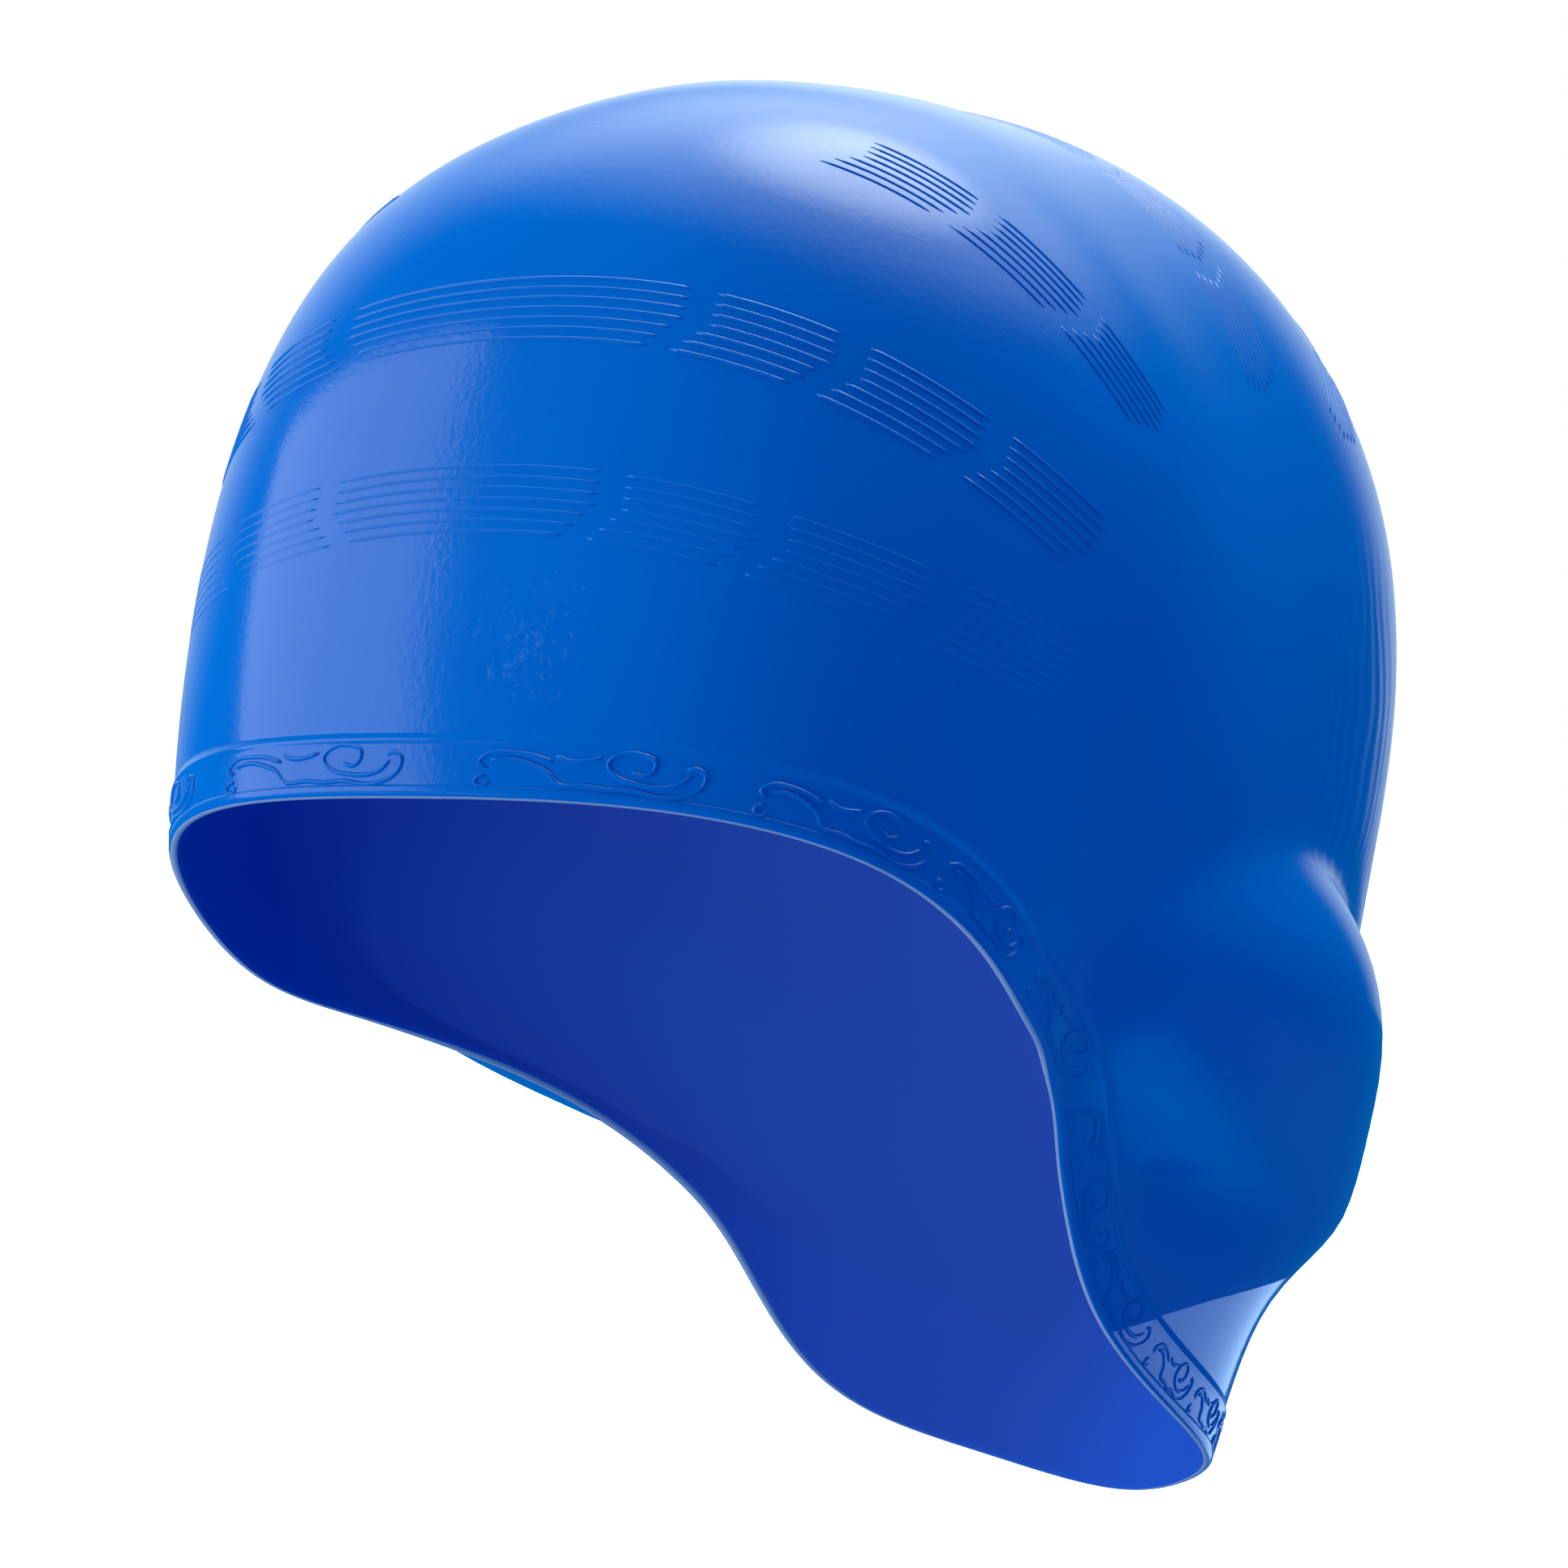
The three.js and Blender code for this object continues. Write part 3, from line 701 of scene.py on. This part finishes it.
def add_wear(material):
    """Chalky marks: pale specks all over, thin, and closer together on the forehead"""
    made = Nodes(material)
    away = made.add("ShaderNodeVectorMath", {0: made.place, 1: WEAR_AT}, "Value", "DISTANCE")
    gather = (away, 0.0, WEAR_REACH, WEAR_GATHER, 0.0)
    specks = made.math("ADD", made.noise(*WEAR_NOISE), made.ranged(*gather))
    marks = made.ranged(specks, *WEAR_RANGE, 0.0, WEAR_MOST)
    blue = made.shader.inputs["Base Color"].links[0].from_socket
    worn = made.nodes.new("ShaderNodeMix")
    worn.data_type = "RGBA"
    made.links.new(marks, worn.inputs["Factor"])
    # a mix node's colours are its inputs 6 and 7 and its output 2
    made.links.new(blue, worn.inputs[6])
    worn.inputs[7].default_value = WEAR_COLOUR
    made.links.new(worn.outputs[2], made.shader.inputs["Base Color"])


def add_ripples(material):
    """Shallow upright ripples above the left ear pocket, where the wall is pulled towards it"""
    made = Nodes(material)
    parts = made.nodes.new("ShaderNodeSeparateXYZ")
    made.links.new(made.place, parts.inputs["Vector"])
    x, y, z = parts.outputs
    turn = made.math("ARCTAN2", x, made.math("MULTIPLY", y, -1.0))
    swayed = made.math("MULTIPLY_ADD", made.noise(*RIPPLE_NOISE), RIPPLE_SWAY, turn)
    wave = made.math("SINE", made.math("MULTIPLY", swayed, float(RIPPLES)))
    side = made.near(turn, math.radians(RIPPLES_AT), math.radians(RIPPLES_REACH), 1.0)
    level = made.near(z, RIPPLES_HEIGHT, RIPPLES_SPAN, 1.0)
    height = made.math("MULTIPLY", wave, made.math("MULTIPLY", side, level))
    grain = made.shader.inputs["Normal"].links[0].from_socket
    inputs = {"Strength": RIPPLE_STRENGTH, "Distance": BUMP_DISTANCE, "Height": height, "Normal": grain}
    made.links.new(made.add("ShaderNodeBump", inputs, "Normal"), made.shader.inputs["Normal"])


# The inside's painted glow, an emission standing in for the light through the thin wall: the share of the
# cap's length from its front where it starts to grow, its colour up to there, and its colour at the back
INSIDE_GLOW_FROM = 0.25
INSIDE_GLOW_FRONT, INSIDE_GLOW_BACK = (0.0, 0.006, 0.085, 1), (0.016, 0.055, 0.25, 1)


def paint_inside_glow(material):
    """A painted glow on the inside, an emission standing in for the light through the thin wall, more
    towards the back
    """
    nodes, links = material.node_tree.nodes, material.node_tree.links
    shader = nodes["Principled BSDF"]
    place = nodes.new("ShaderNodeTexCoord")
    parts = nodes.new("ShaderNodeSeparateXYZ")
    links.new(place.outputs["Object"], parts.inputs["Vector"])
    back = nodes.new("ShaderNodeMapRange")
    back.inputs["From Min"].default_value = SHELL_LOW[1]
    back.inputs["From Max"].default_value = SHELL_HIGH[1]
    links.new(parts.outputs["Y"], back.inputs["Value"])
    glow = nodes.new("ShaderNodeValToRGB")
    glow.color_ramp.elements[0].position = INSIDE_GLOW_FROM
    glow.color_ramp.elements[0].color = INSIDE_GLOW_FRONT
    glow.color_ramp.elements[1].color = INSIDE_GLOW_BACK
    links.new(back.outputs["Result"], glow.inputs["Fac"])
    links.new(glow.outputs["Color"], shader.inputs["Emission Color"])
    shader.inputs["Emission Strength"].default_value = 1.0


# The camera, from a fit of the photograph: degrees, and metres from its target inside the cap
CAMERA_AZIMUTH, CAMERA_ELEVATION = 34.5, 0.5
CAMERA_DISTANCE = 0.7273
CAMERA_LENS, SENSOR = 108.07, 36
CAMERA_TARGET = (-0.00374, -0.00374, -0.10507)


def direction(azimuth, elevation):
    """The unit vector at an azimuth, 0 in front of the face and 90 at the wearer's left, and an angle up"""
    a, e = math.radians(azimuth), math.radians(elevation)
    return Vector((math.sin(a) * math.cos(e), -math.cos(a) * math.cos(e), math.sin(e)))


def make_camera():
    data = bpy.data.cameras.new("photo_camera")
    data.lens, data.sensor_width = CAMERA_LENS, SENSOR
    camera = bpy.data.objects.new("photo_camera", data)
    back = direction(CAMERA_AZIMUTH, CAMERA_ELEVATION)
    camera.location = Vector(CAMERA_TARGET) + back * CAMERA_DISTANCE
    camera.rotation_mode = "QUATERNION"
    camera.rotation_quaternion = (-back).to_track_quat("-Z", "Y")
    bpy.context.scene.collection.objects.link(camera)
    bpy.context.scene.camera = camera


FLOOR_DROP = 0.30
FLOOR_SIZE = 40


def make_floor():
    """A plain white floor under the cap, which takes no part in its light"""
    low = SHELL_LOW[2] - FLOOR_DROP
    half = FLOOR_SIZE / 2
    corners = [(-half, -half), (half, -half), (half, half), (-half, half)]
    mesh = bpy.data.meshes.new("floor")
    mesh.from_pydata([(x, y, low) for x, y in corners], [], [(0, 1, 2, 3)])
    floor = bpy.data.objects.new("floor", mesh)
    bpy.context.scene.collection.objects.link(floor)
    floor.visible_diffuse = floor.visible_glossy = floor.visible_shadow = False
    material = bpy.data.materials.new("floor_white")
    material.use_nodes = True
    shader = material.node_tree.nodes["Principled BSDF"]
    shader.inputs["Base Color"].default_value = (0.9, 0.9, 0.9, 1)
    shader.inputs["Roughness"].default_value = 0.9
    shader.inputs["Emission Color"].default_value = (1, 1, 1, 1)
    shader.inputs["Emission Strength"].default_value = 1.0
    mesh.materials.append(material)


# Softboxes: where each stands as seen from the cap, how far, its size in metres, its roll in degrees,
# its colour beside the white background, and whether it lights the cap or is only mirrored, or both
CENTRE = Vector((0, 0, -0.10))
SOFTBOXES = (
    {"name": "tall_left", "azimuth": -58, "elevation": 15, "distance": 1.5, "size": (0.95, 1.05), "roll": 27,
     "light": 1.6, "colour": (1, 1, 1), "lights": True, "mirrored": True},
    {"name": "low_left", "azimuth": -42, "elevation": -14, "distance": 1.5, "size": (0.9, 0.4), "roll": 0,
     "light": 12, "colour": (1, 1, 1), "lights": True, "mirrored": False},
    {"name": "low_right", "azimuth": 75, "elevation": -25, "distance": 0.8, "size": (0.4, 0.3), "roll": 0,
     "light": 1.25, "colour": (0.8, 1.0, 1.2), "lights": True, "mirrored": False},
    {"name": "nape_light", "azimuth": 150, "elevation": -38, "distance": 0.42, "size": (0.5, 0.2), "roll": 0,
     "light": 2.3, "colour": (0.52, 0.82, 1.15), "lights": False, "mirrored": True},
)


def make_softboxes():
    for box in SOFTBOXES:
        data = bpy.data.lights.new(box["name"], "AREA")
        data.shape = "RECTANGLE"
        data.size, data.size_y = box["size"]
        data.energy = box["light"] * math.pi * data.size * data.size_y
        data.color = box["colour"]
        light = bpy.data.objects.new(box["name"], data)
        towards = direction(box["azimuth"], box["elevation"])
        light.location = CENTRE + towards * box["distance"]
        light.rotation_mode = "QUATERNION"
        roll = Quaternion((0, 0, 1), math.radians(box["roll"]))
        light.rotation_quaternion = towards.to_track_quat("Z", "Y") @ roll
        light.visible_diffuse = box["lights"]
        light.visible_glossy = box["mirrored"]
        bpy.context.scene.collection.objects.link(light)


# The room's own light: a blue dusk all round, and soft glows at a direction, full within one angle and gone
# beyond another
AMBIENT = (0.0, 0.16, 0.47)
GLOW_COLOUR = (0.88, 0.94, 0.84, 1)
GLOWS = (
    {"azimuth": -175, "elevation": 70, "full": 4, "gone": 26, "light": 5.2},
    {"azimuth": -175, "elevation": 68, "full": 12, "gone": 46, "light": 2.4},
    {"azimuth": -130, "elevation": 30, "full": 8, "gone": 38, "light": 0.7},
    {"azimuth": -161, "elevation": 13, "full": 6, "gone": 25, "light": 0.55},
)


def make_world():
    """White as seen directly; its light on the cap is dim, but for a few soft glows"""
    world = bpy.data.worlds.new("studio")
    bpy.context.scene.world = world
    world.use_nodes = True
    nodes, links = world.node_tree.nodes, world.node_tree.links
    seen = nodes["Background"]
    seen.inputs["Color"].default_value = (1, 1, 1, 1)
    seen.inputs["Strength"].default_value = 1.0
    dusk = nodes.new("ShaderNodeBackground")
    dusk.inputs["Color"].default_value = (*AMBIENT, 1)
    lit = dusk.outputs["Background"]
    place = nodes.new("ShaderNodeTexCoord")
    for glow in GLOWS:
        dot = nodes.new("ShaderNodeVectorMath")
        dot.operation = "DOT_PRODUCT"
        dot.inputs[1].default_value = direction(glow["azimuth"], glow["elevation"])
        links.new(place.outputs["Generated"], dot.inputs[0])
        fade = nodes.new("ShaderNodeMapRange")
        fade.interpolation_type = "SMOOTHSTEP"
        fade.inputs["From Min"].default_value = math.cos(math.radians(glow["gone"]))
        fade.inputs["From Max"].default_value = math.cos(math.radians(glow["full"]))
        fade.inputs["To Max"].default_value = glow["light"]
        links.new(dot.outputs["Value"], fade.inputs["Value"])
        shine = nodes.new("ShaderNodeBackground")
        shine.inputs["Color"].default_value = GLOW_COLOUR
        links.new(fade.outputs["Result"], shine.inputs["Strength"])
        both = nodes.new("ShaderNodeAddShader")
        links.new(lit, both.inputs[0])
        links.new(shine.outputs["Background"], both.inputs[1])
        lit = both.outputs["Shader"]
    path = nodes.new("ShaderNodeLightPath")
    mix = nodes.new("ShaderNodeMixShader")
    links.new(path.outputs["Is Camera Ray"], mix.inputs["Fac"])
    links.new(lit, mix.inputs[1])
    links.new(seen.outputs["Background"], mix.inputs[2])
    links.new(mix.outputs["Shader"], nodes["World Output"].inputs["Surface"])


# A large dark card that only reflections see. Its inner edge lies on the skin round the nape, at one height
# at the hem and a little higher at the back, and it keeps the nape_light out of the skin above it.
NAPE_CARD = {"hem": -191, "back": -183, "from": 158, "first": 56, "last": 200, "step": 4, "reach": 600}
# The angle down where the search for a height starts, and how often it halves
LEVEL_FROM, LEVEL_ROUNDS = 70, 20


def level_points(around, heights):
    """Points of the surface at some directions and heights, found by halving"""
    low, high = np.full(len(around), math.radians(LEVEL_FROM)), np.interp(around, HEM_AROUND, HEM_DOWN)
    for _ in range(LEVEL_ROUNDS):
        middle = (low + high) / 2
        above = surface(around, middle)[:, 2] > heights
        low, high = np.where(above, middle, low), np.where(above, high, middle)
    return surface(around, low)


def make_nape_card():
    start = HEM_AROUND[surface(HEM_AROUND, HEM_DOWN)[:, 2] < NAPE_CARD["hem"]][0]
    around = np.radians(np.arange(NAPE_CARD["first"], NAPE_CARD["last"] + 1, NAPE_CARD["step"]))
    places = np.clip(around, start, np.pi)
    ends = (start, math.radians(NAPE_CARD["from"]))
    heights = np.interp(places, ends, (NAPE_CARD["hem"], NAPE_CARD["back"]))
    near = level_points(places, heights)
    away = np.stack([np.sin(around), -np.cos(around), np.zeros(len(around))], -1)
    far = near + away * NAPE_CARD["reach"]
    count = len(around)
    faces = [(k, k + 1, count + k + 1, count + k) for k in range(count - 1)]
    material = bpy.data.materials.new("nape_card")
    material.use_nodes = True
    shader = material.node_tree.nodes["Principled BSDF"]
    shader.inputs["Base Color"].default_value = (0, 0, 0, 1)
    shader.inputs["Roughness"].default_value = 1.0
    shader.inputs["Specular IOR Level"].default_value = 0
    shader.inputs["Emission Color"].default_value = (*AMBIENT, 1)
    shader.inputs["Emission Strength"].default_value = 1.0
    card = make_object("nape_card", np.concatenate([near, far]), faces, [material])
    card.visible_camera = card.visible_diffuse = card.visible_shadow = card.visible_transmission = False


def build():
    scene = bpy.context.scene
    scene.view_settings.view_transform = "Standard"
    make_camera()
    outside = silicone("silicone_outside", **OUTSIDE_LOOK)
    add_wear(outside)
    add_ripples(outside)
    # the inside's darker blues are painted shade, and its emission is a painted glow
    inside = silicone("silicone_inside_painted_shade_and_glow", **SHADED_INSIDE_LOOK)
    paint_inside_glow(inside)
    # the lip's pale grey is a painted highlight
    edge = silicone("silicone_edge_highlight", **EDGE_HIGHLIGHT_LOOK)
    skin = make_skin(outside, inside, edge)
    pieces = [skin, make_scroll(outside)] + make_ribs(outside)
    for piece in pieces:
        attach(piece, BODY)
        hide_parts(NODE)
    make_floor()
    make_softboxes()
    make_nape_card()
    make_world()


build()
